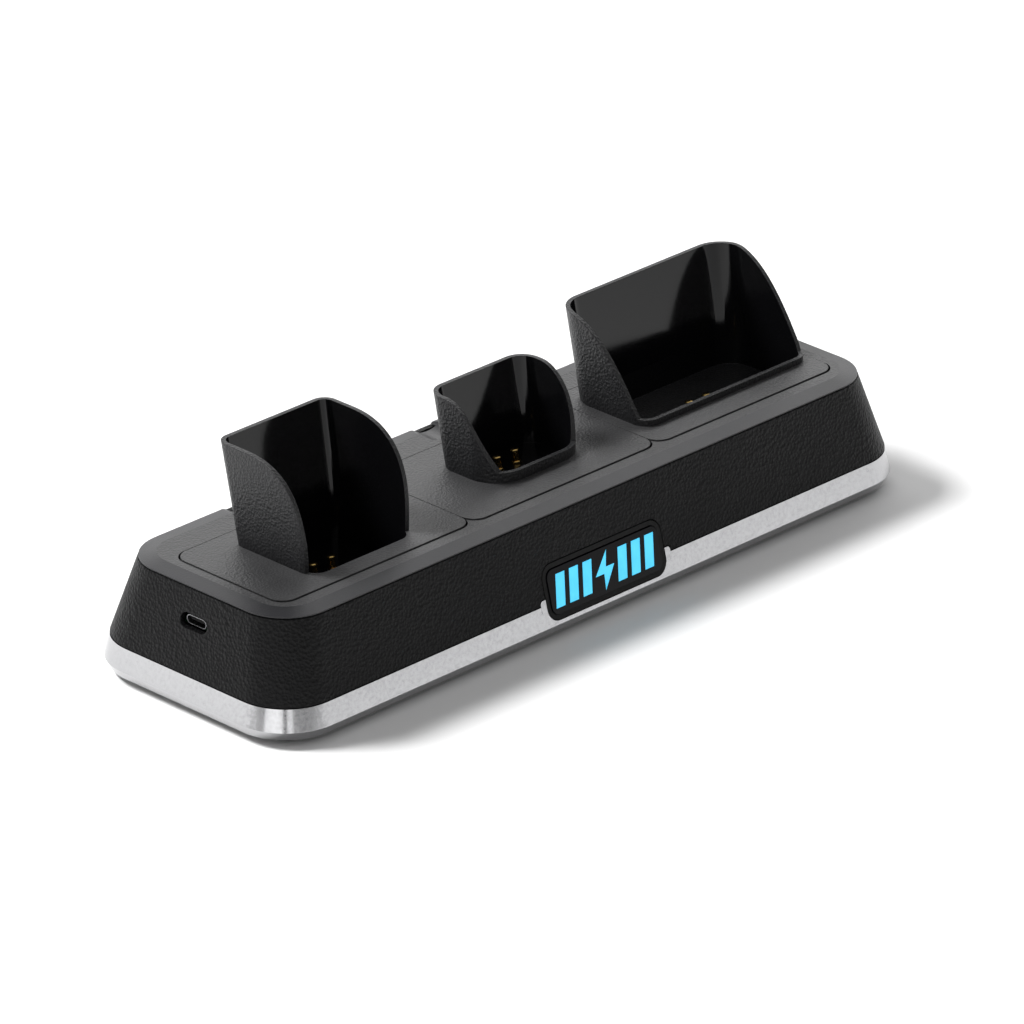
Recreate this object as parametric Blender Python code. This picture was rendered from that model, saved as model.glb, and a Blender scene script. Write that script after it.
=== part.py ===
"""Three-bay charging stand for clippers, a trimmer and a shaver.

The stand lies along X with its long front at -Y. It rests on four feet on z = 0.
A flared wall shell, a bright skirt ring and a bottom cover carry a top frame with
three lift-out trays. Each tray has a cradle cup and two sprung charging contacts.
"""
import math

import bmesh
import bpy
from mathutils import Matrix, Vector

MM = 0.001
GAP = 0.3 * MM

# Base: sizes of the wall shell at its bottom edge, and the heights of each edge.
# Three bays side by side and a margin for the rims and the walls' slope make the length.
BAY_LENGTH = 85.0 * MM
END_MARGINS = 33.0 * MM
BASE_LENGTH = 3 * BAY_LENGTH + END_MARGINS
BASE_WIDTH = 91.4 * MM
BASE_CORNER_R = 18.5 * MM
SKIRT_BOTTOM_Z = 2.2 * MM
SKIRT_WIDE_Z = 5.5 * MM
WALL_BOTTOM_Z = 13.2 * MM
WALL_HEIGHT = 27.1 * MM
WALL_FLARE = 7.25 * MM
WALL_THICK = 2.2 * MM

# Top frame: the flat rim round the three bays.
RIM_WIDTH = 5.8 * MM
RIM_RISE = 1.0 * MM
RIM_EDGE = 0.4 * MM
FRAME_LIP_INSET = 2.6 * MM
LEDGE_WIDTH = 1.2 * MM
LEDGE_THICK = 2.0 * MM

# Skirt ring and bottom cover.
SKIRT_FLARE = 1.9 * MM
SKIRT_TUCK = 1.8 * MM
SKIRT_WALL = 2.2 * MM
SKIRT_LEDGE = 3.0 * MM
SKIRT_LEDGE_THICK = 1.4 * MM
COVER_THICK = 2.0 * MM
FOOT_R = 7.6 * MM
FOOT_RECESS = 0.8 * MM

# Bays and trays. The bays run between a front and a rear margin, counted from the base's foot.
FRONT_MARGIN = 17.7 * MM
REAR_MARGIN = 23.3 * MM
BAY_CORNER_R = 6.0 * MM
TRAY_THICK = 2.2 * MM
TRAY_PROUD = 0.3 * MM
CUP_WALL = 1.6 * MM
CUP_FLOOR = 1.8 * MM
CUP_SIDE_FLARE = 0.03
CUP_BACK_LEAN = 0.185
SCOOP_R = 13.0 * MM
SCOOP_DEPTH = 2.0 * MM
SCOOP_SETBACK = 12.5 * MM

# Sprung contacts: a plunger in a flanged barrel, leaning back with the tool.
CONTACT_LEAN = math.radians(12.0)
CONTACT_SPACING = 8.2 * MM
PLUNGER_R = 1.1 * MM
PLUNGER_HEAD_R = 1.5 * MM
PLUNGER_HEAD_THICK = 0.7 * MM
PLUNGER_HEIGHT = 4.8 * MM
PLUNGER_DEPTH = 2.6 * MM
PLUNGER_CLEARANCE = 0.12 * MM
BARREL_WALL = 0.4 * MM
BARREL_PROUD = 0.7 * MM
BARREL_DEPTH = 6.2 * MM
BLOCK_LENGTH = 17.0 * MM
BLOCK_WIDTH = 9.0 * MM
BLOCK_DROP = 20.3 * MM

# Screws, bosses and boards.
SCREW_X = BAY_LENGTH + 27.0 * MM
SCREW_FRONT_OFFSET = 2.4 * MM
SCREW_BACK_OFFSET = 5.2 * MM
SCREW_R = 1.15 * MM
SCREW_HEAD_R = 2.6 * MM
SCREW_HEAD_THICK = 1.6 * MM
SCREW_LENGTH = 10.0 * MM
BOSS_R = 3.2 * MM
COVER_POST_R = 4.3 * MM
COVER_POST_TOP_Z = 8.3 * MM
BOARD_LENGTH = 2 * BAY_LENGTH + 40.0 * MM
BOARD_WIDTH = 30.0 * MM
BOARD_THICK = 1.2 * MM
BOARD_BOTTOM_Z = 14.0 * MM
BOARD_POST_R = 2.6 * MM
BOARD_SCREW_X = 55.0 * MM
BOARD_SCREW_Y = 10.5 * MM
BOARD_SCREW_R = 0.9 * MM

# Charging inlet on the left end.
INLET_RISE = 16.5 * MM
INLET_OPENING_WIDTH = 12.0 * MM
INLET_OPENING_HEIGHT = 4.6 * MM
INLET_SHELL_WIDTH = 8.94 * MM
INLET_SHELL_HEIGHT = 3.26 * MM
INLET_SHELL_WALL = 0.3 * MM
INLET_SHELL_LENGTH = 7.4 * MM
INLET_SETBACK = 1.3 * MM

# Lit badge window in the middle of the front.
BADGE_HALF = 27.2 * MM
BADGE_BOTTOM_Z = 7.0 * MM
BADGE_TOP_Z = 25.1 * MM
BADGE_CORNER_R = 4.6 * MM
BADGE_BORDER = 1.5 * MM
BADGE_THICK = 2.4 * MM
WINDOW_PROUD = 0.3 * MM
TAB_WIDTH = 2.4 * MM
TAB_HEIGHT = 1.6 * MM
BAR_WIDTH = 4.0 * MM
BAR_PITCH = 6.2 * MM
BAR_SLANT = 2.2 * MM
MARK_HEIGHT = 10.5 * MM
BOLT_WIDTH = 9.0 * MM

CORNER_SEGMENTS = 8
ROUND_SEGMENTS = 20

WALL_TOP_Z = WALL_BOTTOM_Z + WALL_HEIGHT
DECK_Z = WALL_TOP_Z + RIM_RISE
SLOPE = WALL_FLARE / WALL_HEIGHT
INLET_Z = WALL_BOTTOM_Z + INLET_RISE
HALF_X = BASE_LENGTH / 2
HALF_Y = BASE_WIDTH / 2
BAY_FRONT_Y = FRONT_MARGIN - HALF_Y
BAY_BACK_Y = HALF_Y - REAR_MARGIN
SCREW_FRONT_Y = BAY_FRONT_Y - SCREW_FRONT_OFFSET
SCREW_BACK_Y = BAY_BACK_Y + SCREW_BACK_OFFSET
TRAY_TOP_Z = DECK_Z + TRAY_PROUD
TRAY_BOTTOM_Z = TRAY_TOP_Z - TRAY_THICK
LEDGE_TOP_Z = TRAY_BOTTOM_Z - GAP
FRAME_BOTTOM_Z = LEDGE_TOP_Z - LEDGE_THICK
COVER_BOTTOM_Z = SKIRT_BOTTOM_Z + GAP
COVER_TOP_Z = COVER_BOTTOM_Z + COVER_THICK
BLOCK_BOTTOM_Z = TRAY_TOP_Z - BLOCK_DROP
BAY_MID_Y = (BAY_FRONT_Y + BAY_BACK_Y) / 2
BAY_HALF_Y = (BAY_BACK_Y - BAY_FRONT_Y) / 2


def across(share):
    """A depth in the bay, as a share of its half depth from the bay's middle."""
    return BAY_MID_Y + share * BAY_HALF_Y


# One row per bay: the cup's middle, its half width, front and back at deck level, corner radii,
# how far the floor lies under the tray's top, the cup's height, its lip above the tray, the
# contacts' depth, and the side wall's curve from back to front as (share of depth, height).
BAYS = {
    "left": {
        "bay_x": -BAY_LENGTH, "cup_x": 0.8 * MM, "half": 0.275 * BAY_LENGTH, "front": across(-0.77),
        "back": across(0.738), "front_r": 7.0 * MM, "back_r": 5.0 * MM, "floor_drop": 12.6 * MM,
        "height": 34.4 * MM, "lip": -GAP, "contact_y": across(0.032),
        "curve": ((0.429, 34.4), (-0.127, 34.2), (-0.583, 27.0), (-0.575, 2.0)),
    },
    "centre": {
        "bay_x": 0.0, "cup_x": 1.5 * MM, "half": 0.2565 * BAY_LENGTH, "front": across(-0.52),
        "back": across(0.571), "front_r": 12.0 * MM, "back_r": 7.5 * MM, "floor_drop": 4.0 * MM,
        "height": 25.2 * MM, "lip": 3.6 * MM, "contact_y": across(0.131),
        "curve": ((0.389, 25.2), (0.032, 25.0), (-0.167, 15.5), (-0.385, 3.6)),
    },
    "right": {
        "bay_x": BAY_LENGTH, "cup_x": 1.5 * MM, "half": 0.4624 * BAY_LENGTH, "front": across(-0.595),
        "back": across(0.853), "front_r": 6.0 * MM, "back_r": 11.0 * MM, "floor_drop": 10.1 * MM,
        "height": 31.6 * MM, "lip": 2.2 * MM, "contact_y": across(-0.067),
        "curve": ((0.865, 31.6), (0.429, 31.6), (0.032, 22.0), (-0.437, 2.2)),
    },
}


def material(name, colour, roughness, metallic=0.0):
    """A plain Principled material."""
    made = bpy.data.materials.new(name)
    made.use_nodes = True
    shader = made.node_tree.nodes["Principled BSDF"]
    shader.inputs["Base Color"].default_value = (*colour, 1.0)
    shader.inputs["Roughness"].default_value = roughness
    shader.inputs["Metallic"].default_value = metallic
    return made


def new_object(name, bm, look=None):
    """Turn a bmesh into a named object with its faces pointing out."""
    bmesh.ops.recalc_face_normals(bm, faces=bm.faces[:])
    mesh = bpy.data.meshes.new(name)
    bm.to_mesh(mesh)
    bm.free()
    mesh.shade_smooth()
    mesh.set_sharp_from_angle(angle=math.radians(30))
    made = bpy.data.objects.new(name, mesh)
    bpy.context.scene.collection.objects.link(made)
    if look is None:
        made.hide_render = True
        made.display_type = "WIRE"
        made.hide_set(True)
    else:
        mesh.materials.append(look)
    return made


def cut(target, cutter, operation="DIFFERENCE"):
    """Cut a hidden solid from a piece, or join it to the piece."""
    step = target.modifiers.new(cutter.name, "BOOLEAN")
    step.operation = operation
    step.object = cutter
    return target


def join(target, addition):
    return cut(target, addition, "UNION")


def rounded(half_x, half_y, radius, centre=(0.0, 0.0), front_radius=None):
    """Points round a rectangle with rounded corners, counter-clockwise."""
    low = radius if front_radius is None else front_radius
    points = []
    for quarter, (sx, sy, r) in enumerate(((1, 1, radius), (-1, 1, radius), (-1, -1, low), (1, -1, low))):
        for step in range(CORNER_SEGMENTS + 1):
            angle = math.pi / 2 * (quarter + step / CORNER_SEGMENTS)
            x = centre[0] + sx * (half_x - r) + r * math.cos(angle)
            y = centre[1] + sy * (half_y - r) + r * math.sin(angle)
            points.append((x, y))
    return points


def loft(name, sections, look=None, ring=False):
    """Skin a stack of (outline, z) sections: capped, or closed round on itself."""
    bm = bmesh.new()
    loops = []
    for outline, z in sections:
        loops.append([bm.verts.new((x, y, z)) for x, y in outline])
    pairs = list(zip(loops, loops[1:]))
    if ring:
        pairs.append((loops[-1], loops[0]))
    else:
        bm.faces.new(loops[0])
        bm.faces.new(loops[-1])
    count = len(loops[0])
    for low, high in pairs:
        for i in range(count):
            j = (i + 1) % count
            bm.faces.new((low[i], low[j], high[j], high[i]))
    return new_object(name, bm, look)


def base_outline(inset, z):
    """The flared base outline at height z, moved in by inset."""
    shrink = SLOPE * (z - WALL_BOTTOM_Z) + inset
    return rounded(HALF_X - shrink, HALF_Y - shrink, BASE_CORNER_R - 0.2 * (shrink - inset) - inset)


def skirt_outline(grow, inset):
    """The skirt's outline, wider than the wall's foot by grow and moved in by inset."""
    step = grow - inset
    return rounded(HALF_X + step, HALF_Y + step, BASE_CORNER_R + step)


def rods(name, places, look=None):
    """Upright round rods, one per (x, y, low z, high z, radius)."""
    bm = bmesh.new()
    for x, y, low, high, radius in places:
        turn = Matrix.Translation((x, y, (low + high) / 2))
        bmesh.ops.create_cone(
            bm, cap_ends=True, segments=ROUND_SEGMENTS, radius1=radius, radius2=radius,
            depth=high - low, matrix=turn)
    return new_object(name, bm, look)


def box(name, low, high, look=None, bevel=0.0):
    """A box between two corners, with its upright edges rounded."""
    bm = bmesh.new()
    size = Vector(high) - Vector(low)
    middle = (Vector(high) + Vector(low)) / 2
    bmesh.ops.create_cube(bm, size=1.0, matrix=Matrix.Translation(middle) @ Matrix.Diagonal((*size, 1.0)))
    if bevel:
        upright = [e for e in bm.edges if abs(e.verts[0].co.z - e.verts[1].co.z) > size.z / 2]
        bmesh.ops.bevel(bm, geom=upright, offset=bevel, segments=3, affect="EDGES", profile=0.5, material=-1)
    return new_object(name, bm, look)


def turned(name, profile, look, segments=ROUND_SEGMENTS):
    """Turn an (r, z) profile that starts and ends on the axis."""
    bm = bmesh.new()
    rings = []
    for r, z in profile:
        if r == 0.0:
            rings.append([bm.verts.new((0.0, 0.0, z))])
            continue
        angles = [2 * math.pi * i / segments for i in range(segments)]
        rings.append([bm.verts.new((r * math.cos(a), r * math.sin(a), z)) for a in angles])
    for low, high in zip(rings, rings[1:]):
        for i in range(segments):
            j = (i + 1) % segments
            corners = [low[i % len(low)], low[j % len(low)], high[j % len(high)], high[i % len(high)]]
            bm.faces.new(list(dict.fromkeys(corners)))
    return new_object(name, bm, look)


def front_prism(name, outline, depth_from, depth_to, look=None):
    """Extrude an (x, z) outline through the sloping front wall, depths counted inwards."""
    bm = bmesh.new()
    layers = []
    for depth in (depth_from, depth_to):
        layers.append([bm.verts.new((x, front_y(z) + depth, z)) for x, z in outline])
    bm.faces.new(layers[0])
    bm.faces.new(layers[1])
    count = len(outline)
    for i in range(count):
        j = (i + 1) % count
        bm.faces.new((layers[0][i], layers[0][j], layers[1][j], layers[1][i]))
    return new_object(name, bm, look)


def front_y(z):
    """Where the outside of the front wall is at height z."""
    return -HALF_Y + SLOPE * (z - WALL_BOTTOM_Z)


def badge_outline(grow):
    """The badge opening's (x, z) outline, grown by a margin."""
    middle = (BADGE_TOP_Z + BADGE_BOTTOM_Z) / 2
    half = (BADGE_TOP_Z - BADGE_BOTTOM_Z) / 2
    return rounded(BADGE_HALF + grow, half + grow, BADGE_CORNER_R + grow, (0.0, middle))


def tab_outline(side, grow):
    """The raised tab of the skirt beside the badge."""
    inner = BADGE_HALF + GAP
    outer = inner + TAB_WIDTH + grow
    top = WALL_BOTTOM_Z + TAB_HEIGHT + grow
    low = WALL_BOTTOM_Z - 3 * MM
    radius = TAB_HEIGHT * 0.75
    points = [(inner - grow, low), (outer, low)]
    for step in range(CORNER_SEGMENTS + 1):
        angle = math.pi / 2 * step / CORNER_SEGMENTS
        points.append((outer - radius + radius * math.cos(angle), top - radius + radius * math.sin(angle)))
    points.append((inner - grow, top))
    return [(side * x, z) for x, z in points]


def bezier(points, steps=10):
    """Points along a cubic curve given by its four control points."""
    a, b, c, d = [Vector(p) for p in points]
    return [a * (1 - t) ** 3 + b * 3 * t * (1 - t) ** 2 + c * 3 * t * t * (1 - t) + d * t ** 3
            for t in [i / steps for i in range(steps + 1)]]


for old in list(bpy.data.objects):
    bpy.data.objects.remove(old, do_unlink=True)

grained = material("grained black plastic", (0.012, 0.012, 0.013), 0.5)
satin = material("satin grey-black plastic", (0.045, 0.046, 0.05), 0.35)
bright = material("bright plated plastic", (0.72, 0.72, 0.73), 0.12, 1.0)
plain = material("matte black plastic", (0.02, 0.02, 0.02), 0.6)
soft = material("black rubber", (0.015, 0.015, 0.015), 0.8)
steel = material("zinc-plated steel", (0.55, 0.55, 0.56), 0.3, 1.0)
gold = material("gold-plated contact", (0.83, 0.63, 0.28), 0.2, 1.0)
glossy = material("gloss black window", (0.005, 0.005, 0.006), 0.06)
lit = material("lit cyan guide", (0.08, 0.6, 0.85), 0.3)
board = material("green circuit board", (0.02, 0.13, 0.06), 0.45)
diode = material("white diode", (0.85, 0.85, 0.8), 0.4)

# Wall shell.
wall_top = WALL_TOP_Z - RIM_EDGE - GAP
housing = loft("side_housing", [
    (base_outline(0.0, WALL_BOTTOM_Z), WALL_BOTTOM_Z),
    (base_outline(0.0, wall_top), wall_top),
    (base_outline(WALL_THICK, wall_top), wall_top),
    (base_outline(WALL_THICK, WALL_BOTTOM_Z), WALL_BOTTOM_Z),
], grained, ring=True)
badge_cut = front_prism("badge_opening", badge_outline(GAP), -4 * MM, 4.5 * MM)
cut(housing, badge_cut)
for side in (-1, 1):
    cut(housing, front_prism("tab_relief_%d" % side, tab_outline(side, GAP), -4 * MM, 4.5 * MM))

inlet_outline = rounded(INLET_OPENING_HEIGHT / 2, INLET_OPENING_WIDTH / 2, INLET_OPENING_HEIGHT / 2 - 0.01 * MM)
inlet_cut = loft("inlet_opening", [(inlet_outline, -9 * MM), (inlet_outline, 9 * MM)])
wall_at_inlet = -HALF_X + SLOPE * (INLET_Z - WALL_BOTTOM_Z)
inlet_cut.matrix_world = Matrix.Translation((wall_at_inlet, 0, INLET_Z)) @ Matrix.Rotation(math.pi / 2, 4, "Y")
cut(housing, inlet_cut)

# Skirt ring, with the inner ledge that the bottom cover screws up against.
ledge_z = COVER_TOP_Z + GAP
ledge_top = ledge_z + SKIRT_LEDGE_THICK
skirt_top = WALL_BOTTOM_Z - GAP
foot_grow = SKIRT_FLARE - SKIRT_TUCK
skirt = loft("skirt_ring", [
    (skirt_outline(foot_grow, 0.0), SKIRT_BOTTOM_Z),
    (skirt_outline(SKIRT_FLARE - 0.35 * MM, 0.0), SKIRT_WIDE_Z - 0.6 * MM),
    (skirt_outline(SKIRT_FLARE, 0.0), SKIRT_WIDE_Z),
    (skirt_outline(0.0, 0.0), skirt_top),
    (skirt_outline(0.0, SKIRT_WALL), skirt_top),
    (skirt_outline(0.0, SKIRT_WALL), ledge_top),
    (skirt_outline(foot_grow, SKIRT_WALL + SKIRT_LEDGE), ledge_top),
    (skirt_outline(foot_grow, SKIRT_WALL + SKIRT_LEDGE), ledge_z),
    (skirt_outline(foot_grow, SKIRT_WALL), ledge_z),
    (skirt_outline(foot_grow, SKIRT_WALL), SKIRT_BOTTOM_Z),
], bright, ring=True)
for side in (-1, 1):
    join(skirt, front_prism("tab_%d" % side, tab_outline(side, 0.0), 0.0, SKIRT_WALL - 0.2 * MM))
cut(skirt, badge_cut)

# Bottom cover with screw posts, board posts and foot recesses.
cover = loft("bottom_cover", [
    (skirt_outline(foot_grow, SKIRT_WALL + GAP), COVER_BOTTOM_Z),
    (skirt_outline(foot_grow, SKIRT_WALL + GAP), COVER_TOP_Z),
], plain)
screw_places = [(x, y) for y in (SCREW_FRONT_Y, SCREW_BACK_Y) for x in (-SCREW_X, 0.0, SCREW_X)]
board_places = [(sx * BOARD_SCREW_X, sy * BOARD_SCREW_Y) for sx in (-1, 1) for sy in (-1, 1)]
under = COVER_TOP_Z - 0.5 * MM
head_seat_z = COVER_BOTTOM_Z + 3.0 * MM
shank_hole_r = SCREW_R + GAP
join(cover, rods("cover_posts", [(x, y, under, COVER_POST_TOP_Z, COVER_POST_R) for x, y in screw_places]))
board_post_top = BOARD_BOTTOM_Z - GAP
join(cover, rods("board_posts", [(x, y, under, board_post_top, BOARD_POST_R) for x, y in board_places]))
inlet_board_top = INLET_Z - INLET_SHELL_HEIGHT / 2 - GAP
inlet_post_top = inlet_board_top - BOARD_THICK - GAP
inlet_post_x = wall_at_inlet + INLET_SETBACK + WALL_THICK + 5 * MM
join(cover, rods("inlet_posts", [(inlet_post_x, y, under, inlet_post_top, 2.2 * MM) for y in (-6.5 * MM, 6.5 * MM)]))
low = COVER_BOTTOM_Z - 1 * MM
high = COVER_POST_TOP_Z + 1 * MM
cut(cover, rods("head_wells", [(x, y, low, head_seat_z, SCREW_HEAD_R + GAP) for x, y in screw_places]))
cut(cover, rods("shank_holes", [(x, y, low, high, shank_hole_r) for x, y in screw_places]))
board_hole_z = board_post_top - 6 * MM
board_hole_r = BOARD_SCREW_R + GAP
cut(cover, rods("board_screw_holes", [(x, y, board_hole_z, board_post_top + MM, board_hole_r) for x, y in board_places]))

# Feet near the corners, each in a shallow recess.
foot_reach = BASE_CORNER_R + foot_grow - SKIRT_WALL - GAP - 0.9 * MM - FOOT_R
foot_x = HALF_X - BASE_CORNER_R + foot_reach * math.cos(math.pi / 4)
foot_y = HALF_Y - BASE_CORNER_R + foot_reach * math.sin(math.pi / 4)
recess_top = COVER_BOTTOM_Z + FOOT_RECESS
foot_top = recess_top - GAP
foot_profile = [(0.0, 0.0), (FOOT_R - 0.6 * MM, 0.0), (FOOT_R, 0.6 * MM), (FOOT_R, foot_top), (0.0, foot_top)]
recesses = []
for word, sx, sy in (("front_left", -1, -1), ("front_right", 1, -1), ("rear_left", -1, 1), ("rear_right", 1, 1)):
    foot = turned("foot_" + word, foot_profile, soft, 28)
    foot.location = (sx * foot_x, sy * foot_y, 0.0)
    recesses.append((sx * foot_x, sy * foot_y, low, recess_top, FOOT_R + GAP))
cut(cover, rods("foot_recesses", recesses))

# Top frame: flat rim, three open bays with ledges, screw bosses and finger scoops.
frame = loft("top_frame", [
    (base_outline(FRAME_LIP_INSET, WALL_TOP_Z), FRAME_BOTTOM_Z),
    (base_outline(FRAME_LIP_INSET, WALL_TOP_Z), WALL_TOP_Z - RIM_EDGE),
    (base_outline(0.0, WALL_TOP_Z), WALL_TOP_Z - RIM_EDGE),
    (base_outline(0.0, WALL_TOP_Z), WALL_TOP_Z),
    (base_outline(RIM_WIDTH, WALL_TOP_Z), DECK_Z),
], satin)
for word, bay in BAYS.items():
    centre = (bay["bay_x"], BAY_MID_Y)
    half = BAY_LENGTH / 2
    pocket = rounded(half + GAP / 4, BAY_HALF_Y + GAP / 4, BAY_CORNER_R, centre)
    through = rounded(half - LEDGE_WIDTH, BAY_HALF_Y - LEDGE_WIDTH, BAY_CORNER_R - 2 * MM, centre)
    cut(frame, loft("pocket_" + word, [(pocket, LEDGE_TOP_Z), (pocket, DECK_Z + 5 * MM)]))
    cut(frame, loft("through_" + word, [(through, FRAME_BOTTOM_Z - MM), (through, DECK_Z)]))
    scoop = rods("scoop_" + word, [(0.0, 0.0, -9 * MM, 9 * MM, SCOOP_R)])
    scoop_y = BAY_BACK_Y + SCOOP_SETBACK
    place = Matrix.Translation((bay["bay_x"], scoop_y, DECK_Z + SCOOP_R - SCOOP_DEPTH))
    scoop.matrix_world = place @ Matrix.Rotation(math.pi / 2, 4, "X")
    cut(frame, scoop)
boss_bottom = COVER_POST_TOP_Z + GAP
join(frame, rods("bosses", [(x, y, boss_bottom, FRAME_BOTTOM_Z + MM, BOSS_R) for x, y in screw_places]))
cut(frame, rods("boss_holes", [(x, y, boss_bottom - MM, boss_bottom + 12 * MM, shank_hole_r) for x, y in screw_places]))

# Screws: six hold the cover to the frame, four hold the main board.
screw_profile = [
    (0.0, -SCREW_HEAD_THICK), (SCREW_HEAD_R - 0.3 * MM, -SCREW_HEAD_THICK), (SCREW_HEAD_R, -SCREW_HEAD_THICK + 0.3 * MM),
    (SCREW_HEAD_R, -GAP), (SCREW_R, -GAP), (SCREW_R, SCREW_LENGTH), (0.0, SCREW_LENGTH + 0.6 * MM)]
for number, (x, y) in enumerate(screw_places, 1):
    screw = turned("cover_screw_%d" % number, screw_profile, steel, 16)
    screw.location = (x, y, head_seat_z)
board_top = BOARD_BOTTOM_Z + BOARD_THICK
board_screw_profile = [
    (0.0, -5 * MM), (BOARD_SCREW_R, -4.6 * MM), (BOARD_SCREW_R, GAP), (2 * BOARD_SCREW_R, GAP),
    (2 * BOARD_SCREW_R, 1.1 * MM), (0.0, 1.4 * MM)]
for number, (x, y) in enumerate(board_places, 1):
    screw = turned("board_screw_%d" % number, board_screw_profile, steel, 12)
    screw.location = (x, y, board_top)

# Main board with one socket block under each bay, and the inlet's own small board.
half = Vector((BOARD_LENGTH / 2, BOARD_WIDTH / 2))
main_board = box("main_board", (-half.x, -half.y, BOARD_BOTTOM_Z), (half.x, half.y, board_top), board, 3 * MM)
cut(main_board, rods("board_holes", [(x, y, 10 * MM, 18 * MM, board_hole_r) for x, y in board_places]))
inlet_mouth_x = wall_at_inlet + INLET_SETBACK
inlet_back_x = inlet_mouth_x + INLET_SHELL_LENGTH
plate_low = (inlet_mouth_x + WALL_THICK, -9.5 * MM, inlet_board_top - BOARD_THICK)
box("inlet_board", plate_low, (inlet_back_x + 9 * MM, 9.5 * MM, inlet_board_top), board, 1 * MM)


def inlet_section(width, height):
    """A stadium outline, tall side along X, for a run turned to lie along the X axis."""
    return rounded(height / 2, width / 2, height / 2 - 0.01 * MM)


lie_down = Matrix.Rotation(math.pi / 2, 4, "Y")
outer = inlet_section(INLET_SHELL_WIDTH, INLET_SHELL_HEIGHT)
inner = inlet_section(INLET_SHELL_WIDTH - 2 * INLET_SHELL_WALL, INLET_SHELL_HEIGHT - 2 * INLET_SHELL_WALL)
shell = loft("inlet_shell", [(outer, 0.0), (outer, INLET_SHELL_LENGTH)], steel)
cut(shell, loft("inlet_bore", [(inner, -MM), (inner, INLET_SHELL_LENGTH - INLET_SHELL_WALL)]))
tongue_core = inlet_section(INLET_SHELL_WIDTH - 2 * INLET_SHELL_WALL - 2 * GAP, INLET_SHELL_HEIGHT - 2 * INLET_SHELL_WALL - 2 * GAP)
tongue_blade = rounded(0.35 * MM, 3.35 * MM, 0.2 * MM)
tongue_back = INLET_SHELL_LENGTH - INLET_SHELL_WALL - GAP
tongue = loft("inlet_tongue", [
    (tongue_blade, 1.0 * MM), (tongue_blade, tongue_back - 1.6 * MM),
    (tongue_core, tongue_back - 1.5 * MM), (tongue_core, tongue_back)], plain)
for piece in (shell, bpy.data.objects["inlet_bore"], tongue):
    piece.matrix_world = Matrix.Translation((inlet_mouth_x, 0, INLET_Z)) @ lie_down

# Trays: a plate and a cradle cup in one moulding, a contact block below, two sprung contacts.
barrel_bore = PLUNGER_R + PLUNGER_CLEARANCE
barrel_r = barrel_bore + BARREL_WALL
barrel_profile = [
    (0.0, -BARREL_DEPTH), (barrel_r, -BARREL_DEPTH), (barrel_r, BARREL_PROUD), (barrel_bore, BARREL_PROUD),
    (barrel_bore, 0.6 * MM - BARREL_DEPTH), (0.0, 0.6 * MM - BARREL_DEPTH)]
head_low = PLUNGER_HEIGHT - PLUNGER_HEAD_THICK
plunger_profile = [
    (0.0, -PLUNGER_DEPTH), (PLUNGER_R, -PLUNGER_DEPTH), (PLUNGER_R, head_low), (PLUNGER_HEAD_R, head_low),
    (PLUNGER_HEAD_R, head_low + 0.4 * MM), (PLUNGER_HEAD_R - 0.4 * MM, PLUNGER_HEIGHT), (0.0, PLUNGER_HEIGHT)]
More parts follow.
